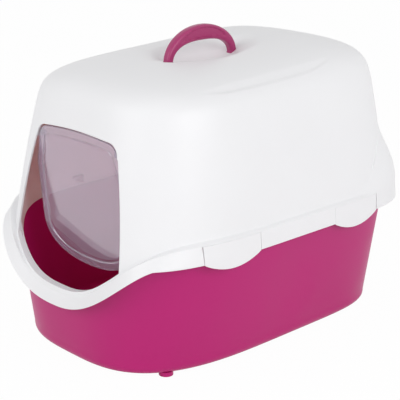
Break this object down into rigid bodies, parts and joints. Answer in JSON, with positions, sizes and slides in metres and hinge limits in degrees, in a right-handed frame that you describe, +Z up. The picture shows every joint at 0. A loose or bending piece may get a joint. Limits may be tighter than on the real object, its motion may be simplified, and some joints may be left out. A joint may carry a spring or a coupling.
{
  "type": "cat litter box with hood",
  "caption": "Covered cat litter box: a deep tray, a lift-off hood with a swing door and a fold-down carrying handle.",
  "frame": {"origin": "bottom centre of the bounding box, on the plane that the four feet stand on", "axes": "+Z up, the entrance faces -Y, +X points to the right in a view from the front"},
  "size_m": [0.398, 0.5612, 0.4403],
  "materials": {
    "tray": "moulded polypropylene, magenta, soft sheen",
    "hood": "moulded polypropylene, white, soft sheen",
    "door": "translucent lilac styrene, smooth",
    "handle": "moulded polypropylene, magenta, soft sheen"
  },
  "bodies": {
    "tray": {"tray": "tray", "foot_front_left": "tray", "foot_front_right": "tray", "foot_rear_left": "tray", "foot_rear_right": "tray"},
    "hood": {"hood": "hood", "door_socket_left": "hood", "door_socket_right": "hood", "handle_socket_front": "hood", "handle_socket_rear": "hood"},
    "tab_front_left": {"tab_front_left": "hood"},
    "tab_front_right": {"tab_front_right": "hood"},
    "tab_rear_left": {"tab_rear_left": "hood"},
    "tab_rear_right": {"tab_rear_right": "hood"},
    "door": {"door": "door"},
    "handle": {"handle": "handle"}
  },
  "joints": [
    {"name": "hood_lift", "type": "slide", "parent": "tray", "child": "hood", "axis": [0, 0, 1], "range_m": [0, 0.25]},
    {"name": "door_swing", "type": "hinge", "parent": "hood", "child": "door", "pos_m": [0, -0.221, 0.305], "axis": [1, 0, 0], "range_deg": [-45, 80]},
    {"name": "handle_fold", "type": "hinge", "parent": "hood", "child": "handle", "pos_m": [0, 0, 0.3895], "axis": [0, 1, 0], "range_deg": [-50, 50]},
    {"name": "tab_front_left_flex", "type": "hinge", "parent": "hood", "child": "tab_front_left", "pos_m": [-0.199, -0.124, 0.1934], "axis": [0, 1, 0], "range_deg": [0, 12], "stiffness_Nm_per_rad": 1.5},
    {"name": "tab_rear_left_flex", "type": "hinge", "parent": "hood", "child": "tab_rear_left", "pos_m": [-0.199, 0.124, 0.1934], "axis": [0, 1, 0], "range_deg": [0, 12], "stiffness_Nm_per_rad": 1.5},
    {"name": "tab_front_right_flex", "type": "hinge", "parent": "hood", "child": "tab_front_right", "pos_m": [0.199, -0.124, 0.1934], "axis": [0, -1, 0], "range_deg": [0, 12], "stiffness_Nm_per_rad": 1.5},
    {"name": "tab_rear_right_flex", "type": "hinge", "parent": "hood", "child": "tab_rear_right", "pos_m": [0.199, 0.124, 0.1934], "axis": [0, -1, 0], "range_deg": [0, 12], "stiffness_Nm_per_rad": 1.5}
  ]
}
